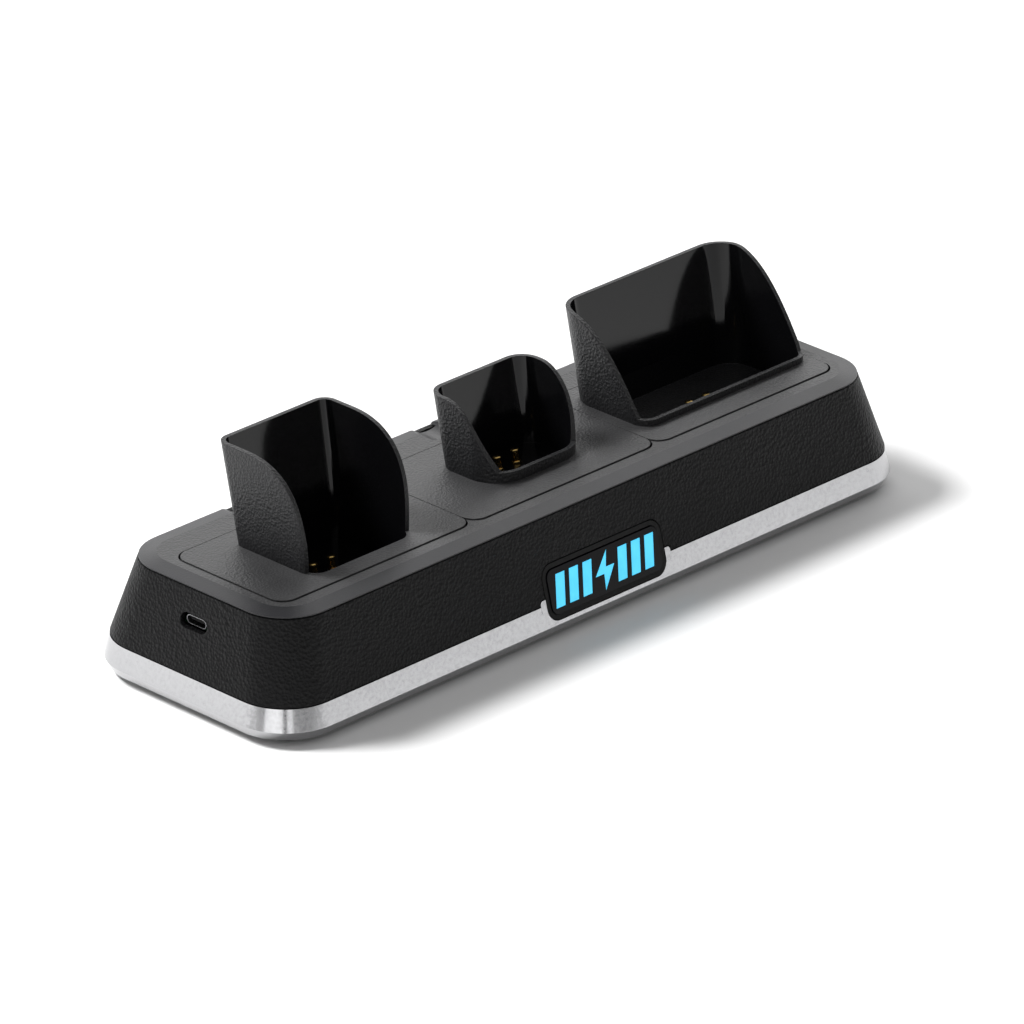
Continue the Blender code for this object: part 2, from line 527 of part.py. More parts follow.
for word, bay in BAYS.items():
    middle_x = bay["bay_x"] + bay["cup_x"]
    floor_z = TRAY_TOP_Z - bay["floor_drop"]
    under_z = floor_z - CUP_FLOOR
    top_z = TRAY_TOP_Z + bay["height"]

    def cup_outline(z, inset):
        """The cup's plan at height z: upright in the tray, spreading above it."""
        rise = max(0.0, z - TRAY_TOP_Z)
        back = bay["back"] + CUP_BACK_LEAN * rise - inset
        front = bay["front"] + inset
        centre = (middle_x, (front + back) / 2)
        half_width = bay["half"] + CUP_SIDE_FLARE * rise - inset
        return rounded(half_width, (back - front) / 2, bay["back_r"] - inset, centre, bay["front_r"] - inset)

    plate = rounded(BAY_LENGTH / 2 - GAP / 2, BAY_HALF_Y - GAP, BAY_CORNER_R - GAP, (bay["bay_x"], BAY_MID_Y))
    tray = loft("tray_" + word, [(plate, TRAY_BOTTOM_Z), (plate, TRAY_TOP_Z)], satin)
    cup = loft("cup_" + word, [(cup_outline(z, 0.0), z) for z in (under_z, TRAY_TOP_Z, top_z)])
    away = -60 * MM
    lip_z = TRAY_TOP_Z + bay["lip"]
    curve = [(across(share), TRAY_TOP_Z + z * MM) for share, z in bezier(bay["curve"])]
    profile = curve + [(curve[-1][0], lip_z), (away, lip_z), (away, top_z + 9 * MM), (curve[0][0], top_z + 9 * MM)]
    if abs(curve[-1][1] - lip_z) < 0.01 * MM:
        profile.remove((curve[-1][0], lip_z))
    bm = bmesh.new()
    sides = [[bm.verts.new((middle_x + sx * 60 * MM, y, z)) for y, z in profile] for sx in (-1, 1)]
    for ring in sides:
        bm.faces.new(ring)
    for i in range(len(profile)):
        j = (i + 1) % len(profile)
        bm.faces.new((sides[0][i], sides[0][j], sides[1][j], sides[1][i]))
    cut(cup, new_object("sweep_" + word, bm))
    join(tray, cup)
    hollow_top = top_z + 2 * MM
    hollow = [(cup_outline(z, CUP_WALL), z) for z in (floor_z, TRAY_TOP_Z, hollow_top)]
    cut(tray, loft("hollow_" + word, hollow))

    block_low = (middle_x - BLOCK_LENGTH / 2, bay["contact_y"] - BLOCK_WIDTH / 2, BLOCK_BOTTOM_Z)
    block_high = (middle_x + BLOCK_LENGTH / 2, bay["contact_y"] + BLOCK_WIDTH / 2, under_z - GAP)
    block = box("contact_block_" + word, block_low, block_high, plain, 1 * MM)
    box("bay_socket_" + word, (block_low[0], block_low[1], board_top + GAP),
        (block_high[0], block_high[1], BLOCK_BOTTOM_Z - GAP), plain, 1 * MM)
    for number, side in ((1, -1), (2, 1)):
        spot = (middle_x + side * CONTACT_SPACING / 2, bay["contact_y"], floor_z)
        place = Matrix.Translation(spot) @ Matrix.Rotation(-CONTACT_LEAN, 4, "X")
        well = rods("well_%s_%d" % (word, number), [(0.0, 0.0, -GAP - BARREL_DEPTH, 4 * MM, barrel_r + GAP)])
        well.matrix_world = place
        cut(tray, well)
        cut(block, well)
        barrel = turned("barrel_%s_%d" % (word, number), barrel_profile, gold)
        barrel.matrix_world = place
        plunger = turned("plunger_%s_%d" % (word, number), plunger_profile, gold)
        plunger.matrix_world = place

# Badge: a border in the wall opening, a gloss window, a light guide behind it and a diode board.
mark_z = (BADGE_BOTTOM_Z + BADGE_TOP_Z) / 2


def bar(x, grow):
    """One slanted charge-level bar."""
    half_w = BAR_WIDTH / 2 + grow
    half_h = MARK_HEIGHT / 2 + grow
    lean = BAR_SLANT / 2
    return [(x - half_w - lean, mark_z - half_h), (x + half_w - lean, mark_z - half_h),
            (x + half_w + lean, mark_z + half_h), (x - half_w + lean, mark_z + half_h)]


def bolt(grow):
    """A lightning bolt: two offset wedges meeting at the middle."""
    w = BOLT_WIDTH / 2 + grow
    h = MARK_HEIGHT / 2 + 1.0 * MM + grow
    return [(-0.25 * w, mark_z - h), (w, mark_z + 0.16 * h), (0.14 * w, mark_z + 0.16 * h),
            (0.45 * w, mark_z + h), (-w, mark_z - 0.16 * h), (-0.14 * w, mark_z - 0.16 * h)]


border = front_prism("badge_border", badge_outline(0.0), 0.1 * MM, BADGE_THICK, plain)
cut(border, front_prism("window_seat", badge_outline(-BADGE_BORDER), -2 * MM, BADGE_THICK + 2 * MM))
window_outline = badge_outline(-BADGE_BORDER - GAP)
window = front_prism("badge_window", window_outline, -WINDOW_PROUD, BADGE_THICK - 0.4 * MM, glossy)
guide_low = BADGE_THICK - 0.4 * MM + GAP
guide_outline = badge_outline(-BADGE_BORDER - 2.5 * MM)
guide = front_prism("light_guide", guide_outline, guide_low, guide_low + 1.6 * MM, lit)
marks = [("bolt", bolt)]
for number in range(3):
    for side in (-1, 1):
        x = side * (BOLT_WIDTH / 2 + 1.6 * MM + BAR_WIDTH / 2 + BAR_PITCH * (number - 0.0))
        marks.append(("bar_%d_%d" % (number, side), lambda grow, x=x: bar(x, grow)))
for word, shape in marks:
    cut(window, front_prism("slot_" + word, shape(0.15 * MM), -2 * MM, BADGE_THICK + MM))
    join(guide, front_prism("mark_" + word, shape(0.0), 0.05 * MM - WINDOW_PROUD, guide_low + 0.5 * MM))
board_depth = guide_low + 1.6 * MM + GAP + 1.2 * MM + GAP
diode_outline = rounded(1.6 * MM, 1.4 * MM, 0.3 * MM)
for word, x in (("left", -15 * MM), ("centre", 0.0), ("right", 15 * MM)):
    spots = [(x + dx, mark_z + dz) for dx, dz in diode_outline]
    front_prism("badge_diode_" + word, spots, board_depth - GAP - 1.2 * MM, board_depth - GAP, diode)
front_prism("diode_board", guide_outline, board_depth, board_depth + BOARD_THICK, board)
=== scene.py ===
"""Charging stand with three lift-out trays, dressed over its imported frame."""
import math

import bmesh
import bpy
from mathutils import Matrix, Vector


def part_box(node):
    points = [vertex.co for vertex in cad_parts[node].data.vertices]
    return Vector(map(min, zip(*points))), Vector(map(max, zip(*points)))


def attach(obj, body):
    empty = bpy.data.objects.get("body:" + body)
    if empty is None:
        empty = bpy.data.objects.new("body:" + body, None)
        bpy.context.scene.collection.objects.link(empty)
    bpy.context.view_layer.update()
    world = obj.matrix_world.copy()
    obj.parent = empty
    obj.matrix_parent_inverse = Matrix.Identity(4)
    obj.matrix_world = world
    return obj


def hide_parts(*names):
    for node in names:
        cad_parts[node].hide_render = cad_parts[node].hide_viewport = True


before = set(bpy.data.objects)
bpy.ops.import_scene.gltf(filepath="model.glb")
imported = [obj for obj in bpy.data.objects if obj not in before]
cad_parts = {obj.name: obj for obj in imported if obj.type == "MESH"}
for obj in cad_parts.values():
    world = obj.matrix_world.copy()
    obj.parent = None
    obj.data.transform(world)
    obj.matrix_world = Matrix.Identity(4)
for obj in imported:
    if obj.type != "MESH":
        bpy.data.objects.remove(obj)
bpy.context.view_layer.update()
MM = 0.001

# ---- Wall shell ----
# One injection-moulded ring of black plastic with a leather grain. It stands on the skirt
# ring, flares in as it rises, and is held down by the top frame.
wall_low, wall_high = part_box("side_housing")
HALF_LENGTH = wall_high.x
HALF_WIDTH = wall_high.y
WALL_BOTTOM_Z = wall_low.z
WALL_TOP_Z = wall_high.z
BASE_CORNER_R = 18.5 * MM
WALL_SLOPE = 0.26753
WALL_THICK = 2.2 * MM
CORNER_STEPS = 16


def loop(bm, half_x, half_y, radius, z, middle=(0.0, 0.0), front_radius=None):
    """A flat rounded rectangle as one face, its corners rounded by a vertex bevel."""
    place = Matrix.Translation((middle[0], middle[1], z)) @ Matrix.Diagonal((half_x, half_y, 1.0, 1.0))
    corners = bmesh.ops.create_grid(bm, x_segments=1, y_segments=1, size=1.0, matrix=place)["verts"]
    front = [v for v in corners if v.co.y < middle[1]]
    back = [v for v in corners if v.co.y >= middle[1]]
    for group, r in ((front, radius if front_radius is None else front_radius), (back, radius)):
        made = bmesh.ops.bevel(
            bm, geom=group, offset=r, offset_type="OFFSET", segments=CORNER_STEPS, profile=0.5,
            affect="VERTICES", material=-1)
    return made["verts"][0].link_faces[0]


def skin(bm, faces):
    """Bridge a stack of loops into the walls of a solid, capped at both ends."""
    rims = [list(face.edges) for face in faces]
    bmesh.ops.delete(bm, geom=faces[1:-1], context="FACES_ONLY")
    for low, high in zip(rims, rims[1:]):
        bmesh.ops.bridge_loops(bm, edges=low + high)


def piece(name, bm, looks, crease=7.0):
    """Turn a mesh in the making into a finished object with smooth curves and crisp edges."""
    bmesh.ops.recalc_face_normals(bm, faces=bm.faces[:])
    mesh = bpy.data.meshes.new(name)
    bm.to_mesh(mesh)
    bm.free()
    for look in looks:
        mesh.materials.append(look)
    made = bpy.data.objects.new(name, mesh)
    bpy.context.scene.collection.objects.link(made)
    shade(made, crease)
    return made


def shade(thing, crease):
    thing.data.shade_smooth()
    thing.data.set_sharp_from_angle(angle=math.radians(crease))


def carve(thing, tool, operation="DIFFERENCE"):
    """Cut a tool's shape from a piece, or weld it on, and throw the tool away."""
    step = thing.modifiers.new("carve", "BOOLEAN")
    step.operation = operation
    step.solver = "EXACT"
    step.object = tool
    depsgraph = bpy.context.evaluated_depsgraph_get()
    result = bpy.data.meshes.new_from_object(thing.evaluated_get(depsgraph))
    thing.modifiers.clear()
    thing.data = result
    bpy.data.objects.remove(tool, do_unlink=True)
    return thing


def tidy(thing, crease=7.0, reach=0.02 * MM):
    """Weld the slivers that cutting leaves and mark the creases again."""
    bm = bmesh.new()
    bm.from_mesh(thing.data)
    bmesh.ops.remove_doubles(bm, verts=bm.verts[:], dist=reach)
    bmesh.ops.dissolve_degenerate(bm, edges=bm.edges[:], dist=reach)
    bm.to_mesh(thing.data)
    bm.free()
    shade(thing, crease)


def soften(thing, width, steps=3, angle=28.0):
    """Round the hard edges, as a mould leaves them."""
    edge = thing.modifiers.new("rounded edges", "BEVEL")
    edge.width = width
    edge.segments = steps
    edge.limit_method = "ANGLE"
    edge.angle_limit = math.radians(angle)
    edge.miter_outer = "MITER_ARC"
    edge.use_clamp_overlap = True
    edge.harden_normals = True
    return thing


def moulded(name, colour, roughness, cell, depth, specular=0.5, patch=0.25):
    """Moulded plastic: a surface grain of the given cell size, uneven colour and uneven gloss."""
    made = bpy.data.materials.new(name)
    made.use_nodes = True
    tree = made.node_tree
    shader = tree.nodes["Principled BSDF"]
    shader.inputs["Specular IOR Level"].default_value = specular
    where = tree.nodes.new("ShaderNodeTexCoord")
    cells = tree.nodes.new("ShaderNodeTexVoronoi")
    cells.feature = "F1"
    cells.inputs["Scale"].default_value = 1.0 / cell
    cells.inputs["Randomness"].default_value = 1.0
    fine = tree.nodes.new("ShaderNodeTexNoise")
    fine.inputs["Scale"].default_value = 2.5 / cell
    fine.inputs["Detail"].default_value = 3.0
    broad = tree.nodes.new("ShaderNodeTexNoise")
    broad.inputs["Scale"].default_value = 28.0
    broad.inputs["Detail"].default_value = 4.0
    blend = tree.nodes.new("ShaderNodeMath")
    blend.operation = "MULTIPLY_ADD"
    blend.inputs[1].default_value = 0.45
    bump = tree.nodes.new("ShaderNodeBump")
    bump.inputs["Distance"].default_value = depth
    bump.inputs["Strength"].default_value = 1.0
    spread = tree.nodes.new("ShaderNodeMapRange")
    spread.inputs["From Min"].default_value = 0.3
    spread.inputs["From Max"].default_value = 0.7
    tint = tree.nodes.new("ShaderNodeMixRGB")
    tint.inputs["Color1"].default_value = (*[c * (1.0 - patch) for c in colour], 1.0)
    tint.inputs["Color2"].default_value = (*[min(1.0, c * (1.0 + patch)) for c in colour], 1.0)
    gloss = tree.nodes.new("ShaderNodeMapRange")
    gloss.inputs["From Min"].default_value = 0.3
    gloss.inputs["From Max"].default_value = 0.7
    gloss.inputs["To Min"].default_value = roughness * 0.9
    gloss.inputs["To Max"].default_value = min(1.0, roughness * 1.12)
    for texture in (cells, fine, broad):
        tree.links.new(where.outputs["Object"], texture.inputs["Vector"])
    tree.links.new(fine.outputs["Fac"], blend.inputs[0])
    tree.links.new(cells.outputs["Distance"], blend.inputs[2])
    tree.links.new(blend.outputs["Value"], bump.inputs["Height"])
    tree.links.new(bump.outputs["Normal"], shader.inputs["Normal"])
    tree.links.new(broad.outputs["Fac"], spread.inputs["Value"])
    tree.links.new(spread.outputs["Result"], tint.inputs["Fac"])
    tree.links.new(tint.outputs["Color"], shader.inputs["Base Color"])
    tree.links.new(broad.outputs["Fac"], gloss.inputs["Value"])
    tree.links.new(gloss.outputs["Result"], shader.inputs["Roughness"])
    return made


# The wall is the same grained plastic as the cups, but its colour is made darker than the cups' black. That
# darker colour is painted shade for the front wall, which faces away from the key light.
wall_black_with_painted_shade = moulded(
    "leather-grained black, darkened as painted shade", (0.003, 0.003, 0.0033), 0.5, 1.1 * MM, 0.3 * MM, specular=0.2)


def wall_loop(bm, inset, z):
    shrink = WALL_SLOPE * (z - WALL_BOTTOM_Z)
    radius = BASE_CORNER_R - 0.2 * shrink - inset
    return loop(bm, HALF_LENGTH - shrink - inset, HALF_WIDTH - shrink - inset, radius, z)


bm = bmesh.new()
skin(bm, [wall_loop(bm, 0.0, WALL_BOTTOM_Z), wall_loop(bm, 0.0, WALL_TOP_Z)])
wall = piece("wall_shell", bm, [wall_black_with_painted_shade])
bm = bmesh.new()
skin(bm, [wall_loop(bm, WALL_THICK, WALL_BOTTOM_Z - MM), wall_loop(bm, WALL_THICK, WALL_TOP_Z + MM)])
carve(wall, piece("wall_hollow", bm, []))

BADGE_HALF = 27.2 * MM
BADGE_BOTTOM_Z = 7.0 * MM
BADGE_TOP_Z = 25.1 * MM
BADGE_CORNER_R = 4.6 * MM
TAB_WIDTH = 2.4 * MM
TAB_HEIGHT = 1.6 * MM
GAP = 0.3 * MM


def through_front(name, half, low, high, radius, depth_from, depth_to, middle_x=0.0, look=None):
    """A rounded block that runs through the sloping front wall, depths counted inwards."""
    bm = bmesh.new()
    depths = (depth_from, depth_to)
    ends = [loop(bm, half, (high - low) / 2, radius, depth, (middle_x, 0.0)) for depth in depths]
    skin(bm, ends)
    bmesh.ops.rotate(bm, verts=bm.verts[:], cent=(0, 0, 0), matrix=Matrix.Rotation(-math.pi / 2, 3, "X"))
    bmesh.ops.scale(bm, verts=bm.verts[:], vec=(1, 1, -1))
    bmesh.ops.translate(bm, verts=bm.verts[:], vec=(0, 0, (low + high) / 2))
    for v in bm.verts:
        v.co.y += WALL_SLOPE * (v.co.z - WALL_BOTTOM_Z) - HALF_WIDTH
    return piece(name, bm, [look] if look else [])


badge_height = (BADGE_BOTTOM_Z - GAP, BADGE_TOP_Z + GAP)
badge_cut = (BADGE_HALF + GAP, *badge_height, BADGE_CORNER_R + GAP, -4 * MM, 4.5 * MM)
carve(wall, through_front("badge_hole", *badge_cut))
tab_half = (TAB_WIDTH + GAP) / 2 + 1.5 * MM
tab_top = WALL_BOTTOM_Z + TAB_HEIGHT
for side in (-1, 1):
    tab_x = side * (BADGE_HALF + 2 * GAP + TAB_WIDTH - tab_half)
    carve(wall, through_front("tab_hole", tab_half, WALL_BOTTOM_Z - 3 * MM, tab_top + GAP, 1.4 * MM,
                              -4 * MM, 4.5 * MM, tab_x))

shell_low, shell_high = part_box("inlet_shell")
INLET_Z = (shell_low.z + shell_high.z) / 2
bm = bmesh.new()
skin(bm, [loop(bm, 2.3 * MM, 6.0 * MM, 2.29 * MM, depth) for depth in (-6 * MM, 6 * MM)])
bmesh.ops.rotate(bm, verts=bm.verts[:], cent=(0, 0, 0), matrix=Matrix.Rotation(math.pi / 2, 3, "Y"))
bmesh.ops.translate(bm, verts=bm.verts[:], vec=(shell_low.x - 1.3 * MM, 0, INLET_Z))
carve(wall, piece("inlet_hole", bm, []))
tidy(wall)
soften(wall, 0.3 * MM)
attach(wall, "base")
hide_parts("side_housing")

# ---- Skirt ring ----
# A plated ring under the wall. Its face leans in to meet the wall's foot, and its lower lip
# turns under. Two small tabs reach up on either side of the badge.
skirt_low, skirt_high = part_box("skirt_ring")
SKIRT_BOTTOM_Z = skirt_low.z
SKIRT_TOP_Z = WALL_BOTTOM_Z - GAP
SKIRT_FLARE = skirt_high.x - HALF_LENGTH
SKIRT_WALL = 2.2 * MM
SKIRT_FOOT = 0.1 * MM


def plated(name, colour, roughness, ripple):
    """Bright plating: nearly even, with a faint ripple of the moulding under it and fine rubbing marks."""
    made = bpy.data.materials.new(name)
    made.use_nodes = True
    tree = made.node_tree
    shader = tree.nodes["Principled BSDF"]
    shader.inputs["Metallic"].default_value = 1.0
    where = tree.nodes.new("ShaderNodeTexCoord")
    swell = tree.nodes.new("ShaderNodeTexNoise")
    swell.inputs["Scale"].default_value = 60.0
    rub = tree.nodes.new("ShaderNodeTexNoise")
    rub.inputs["Scale"].default_value = 900.0
    rub.inputs["Detail"].default_value = 6.0
    bump = tree.nodes.new("ShaderNodeBump")
    bump.inputs["Distance"].default_value = ripple
    gloss = tree.nodes.new("ShaderNodeMapRange")
    gloss.inputs["From Min"].default_value = 0.35
    gloss.inputs["From Max"].default_value = 0.7
    gloss.inputs["To Min"].default_value = roughness * 0.7
    gloss.inputs["To Max"].default_value = roughness * 1.4
    tint = tree.nodes.new("ShaderNodeMixRGB")
    tint.inputs["Color1"].default_value = (*colour, 1.0)
    tint.inputs["Color2"].default_value = (*[c * 0.9 for c in colour], 1.0)
    for texture in (swell, rub):
        tree.links.new(where.outputs["Object"], texture.inputs["Vector"])
    tree.links.new(swell.outputs["Fac"], bump.inputs["Height"])
    tree.links.new(bump.outputs["Normal"], shader.inputs["Normal"])
    tree.links.new(rub.outputs["Fac"], gloss.inputs["Value"])
    tree.links.new(gloss.outputs["Result"], shader.inputs["Roughness"])
    tree.links.new(rub.outputs["Fac"], tint.inputs["Fac"])
    tree.links.new(tint.outputs["Color"], shader.inputs["Base Color"])
    return made


bright = plated("bright plating", (0.48, 0.48, 0.49), 0.16, 0.02 * MM)


def skirt_loop(bm, grow, inset, z):
    step = grow - inset
    return loop(bm, HALF_LENGTH + step, HALF_WIDTH + step, BASE_CORNER_R + step, z)


ledge_z = SKIRT_BOTTOM_Z + GAP + 2.0 * MM + GAP
ledge_top = ledge_z + 1.4 * MM
bm = bmesh.new()
skin(bm, [
    skirt_loop(bm, SKIRT_FOOT, 0.0, SKIRT_BOTTOM_Z),
    skirt_loop(bm, SKIRT_FLARE - 0.35 * MM, 0.0, 4.9 * MM),
    skirt_loop(bm, SKIRT_FLARE, 0.0, 5.5 * MM),
    skirt_loop(bm, 0.0, 0.0, SKIRT_TOP_Z),
])
skirt = piece("skirt_band", bm, [bright])
for foot, inset, low, high in ((SKIRT_FOOT, SKIRT_WALL, SKIRT_BOTTOM_Z - MM, ledge_z),
                               (SKIRT_FOOT, SKIRT_WALL + 3.0 * MM, SKIRT_BOTTOM_Z, SKIRT_TOP_Z),
                               (0.0, SKIRT_WALL, ledge_top, SKIRT_TOP_Z + MM)):
    bm = bmesh.new()
    skin(bm, [skirt_loop(bm, foot, inset, z) for z in (low, high)])
    carve(skirt, piece("skirt_hollow", bm, []))
for side in (-1, 1):
    tab_x = side * (BADGE_HALF + GAP + TAB_WIDTH - tab_half)
    tab = through_front("tab", tab_half, WALL_BOTTOM_Z - 3 * MM, tab_top, 1.2 * MM,
                        0.0, 2.0 * MM, tab_x, bright)
    carve(skirt, tab, "UNION")
carve(skirt, through_front("badge_hole", *badge_cut))
tidy(skirt)
soften(skirt, 0.25 * MM)
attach(skirt, "base")
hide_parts("skirt_ring")

# ---- Top frame ----
# The satin rim round the deck, moulded with three pockets that hold the trays. Six bosses
# under it take the screws from the bottom cover.
frame_low, frame_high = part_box("top_frame")
RIM_TOP_Z = frame_high.z
RIM_FOOT_Z = WALL_TOP_Z + GAP + 0.4 * MM
RIM_WIDTH = 5.8 * MM
LEDGE_WIDTH = 1.2 * MM
BAY_LENGTH = 85.0 * MM
BAY_FRONT_Y = -28.0 * MM
BAY_BACK_Y = 22.4 * MM
BAY_MID_Y = (BAY_FRONT_Y + BAY_BACK_Y) / 2
BAY_HALF_Y = (BAY_BACK_Y - BAY_FRONT_Y) / 2
TRAY_TOP_Z = RIM_TOP_Z + GAP
TRAY_BOTTOM_Z = TRAY_TOP_Z - 2.2 * MM
LEDGE_TOP_Z = TRAY_BOTTOM_Z - GAP
FRAME_BOTTOM_Z = LEDGE_TOP_Z - 2.0 * MM
BOSS_BOTTOM_Z = frame_low.z
BAY_X = {"left": -BAY_LENGTH, "centre": 0.0, "right": BAY_LENGTH}


def rim_loop(bm, inset, z):
    shrink = WALL_SLOPE * (RIM_FOOT_Z - WALL_BOTTOM_Z)
    radius = BASE_CORNER_R - 0.2 * shrink - inset
    return loop(bm, HALF_LENGTH - shrink - inset, HALF_WIDTH - shrink - inset, radius, z)


def rod(x, y, low, high, radius, steps=48):
    bm = bmesh.new()
    place = Matrix.Translation((x, y, (low + high) / 2))
    bmesh.ops.create_cone(bm, cap_ends=True, segments=steps, radius1=radius, radius2=radius,
                          depth=high - low, matrix=place)
    return bm


satin_rim = moulded(
    "satin black rim", (0.018, 0.018, 0.02), 0.36, 0.45 * MM, 0.03 * MM, specular=0.34)
deck_black = moulded("fine-grained deck", (0.042, 0.042, 0.043), 0.48, 0.9 * MM, 0.15 * MM)
bm = bmesh.new()
skin(bm, [rim_loop(bm, 2.6 * MM, FRAME_BOTTOM_Z), rim_loop(bm, 2.6 * MM, RIM_FOOT_Z - 0.4 * MM),
          rim_loop(bm, 0.0, RIM_FOOT_Z - 0.4 * MM), rim_loop(bm, 0.0, RIM_FOOT_Z),
          rim_loop(bm, RIM_WIDTH, RIM_TOP_Z)])
rim = piece("top_rim", bm, [satin_rim, deck_black])
for face in rim.data.polygons:
    if face.center.z > RIM_TOP_Z - 0.01 * MM:
        face.material_index = 1
for word, bay_x in BAY_X.items():
    middle = (bay_x, BAY_MID_Y)
    half = BAY_LENGTH / 2
    for grow, low, high, radius in ((0.35 * MM, LEDGE_TOP_Z, RIM_TOP_Z + 5 * MM, 6.0 * MM),
                                    (-LEDGE_WIDTH, FRAME_BOTTOM_Z - MM, RIM_TOP_Z, 4.0 * MM)):
        bm = bmesh.new()
        skin(bm, [loop(bm, half + grow, BAY_HALF_Y + grow, radius, z, middle) for z in (low, high)])
        carve(rim, piece("pocket", bm, []))
    scoop = rod(0.0, 0.0, -9 * MM, 9 * MM, 13.0 * MM, 96)
    bmesh.ops.rotate(scoop, verts=scoop.verts[:], cent=(0, 0, 0), matrix=Matrix.Rotation(math.pi / 2, 3, "X"))
    scoop_place = (bay_x, BAY_BACK_Y + 12.5 * MM, RIM_TOP_Z + 11.0 * MM)
    bmesh.ops.translate(scoop, verts=scoop.verts[:], vec=scoop_place)
    carve(rim, piece("scoop", scoop, []))
for x in (-112.0 * MM, 0.0, 112.0 * MM):
    for y in (-30.4 * MM, 27.6 * MM):
        boss = rod(x, y, BOSS_BOTTOM_Z, FRAME_BOTTOM_Z + MM, 3.2 * MM)
        carve(rim, piece("boss", boss, [satin_rim]), "UNION")
        hole = rod(x, y, BOSS_BOTTOM_Z - MM, BOSS_BOTTOM_Z + 12 * MM, 1.45 * MM, 24)
        carve(rim, piece("boss_hole", hole, []))
tidy(rim)
soften(rim, 0.2 * MM)
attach(rim, "base")
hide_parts("top_frame")

# ---- Trays with their cradle cups ----
# Each tray is one moulding: a grained plate with a cup that holds the tool upright. The
# cup is polished inside, and its sides sweep down to a low lip at the front.
CUP_WALL = 1.6 * MM
CUP_FLOOR = 1.8 * MM
CUP_SIDE_FLARE = 0.03
CUP_BACK_LEAN = 0.185
CONTACT_LEAN = math.radians(12.0)
CONTACT_SPACING = 8.2 * MM
WELL_R = 1.92 * MM
CUPS = {
    "left": {"x": 0.8, "half": 23.375, "front": -22.204, "back": 15.798, "front_r": 7.0, "back_r": 5.0,
             "floor": 29.0, "height": 34.4, "lip": -0.3, "contact_y": -1.99,
             "curve": ((8.0, 34.4), (-6.0, 34.2), (-17.5, 27.0), (-17.3, 2.0))},
    "centre": {"x": 1.5, "half": 21.803, "front": -15.904, "back": 11.589, "front_r": 12.0, "back_r": 7.5,
               "floor": 37.6, "height": 25.2, "lip": 3.6, "contact_y": 0.5,
               "curve": ((7.0, 25.2), (-2.0, 25.0), (-7.0, 15.5), (-12.5, 3.6))},
    "right": {"x": 1.5, "half": 39.304, "front": -17.794, "back": 18.696, "front_r": 6.0, "back_r": 11.0,
              "floor": 31.5, "height": 31.6, "lip": 2.2, "contact_y": -4.49,
              "curve": ((19.0, 31.6), (8.0, 31.6), (-2.0, 22.0), (-13.8, 2.2))},
}
cup_grain = moulded("grained cup", (0.011, 0.011, 0.012), 0.46, 0.9 * MM, 0.2 * MM, specular=0.45)
gloss_black = moulded(
    "polished black", (0.003, 0.003, 0.0035), 0.09, 2.0 * MM, 0.002 * MM, specular=0.35, patch=0.1)


def swept_curve(points, steps=28):
    a, b, c, d = [Vector(p) for p in points]
    turns = [i / steps for i in range(steps + 1)]
    return [a * (1 - t) ** 3 + b * 3 * t * (1 - t) ** 2 + c * 3 * t * t * (1 - t) + d * t ** 3 for t in turns]


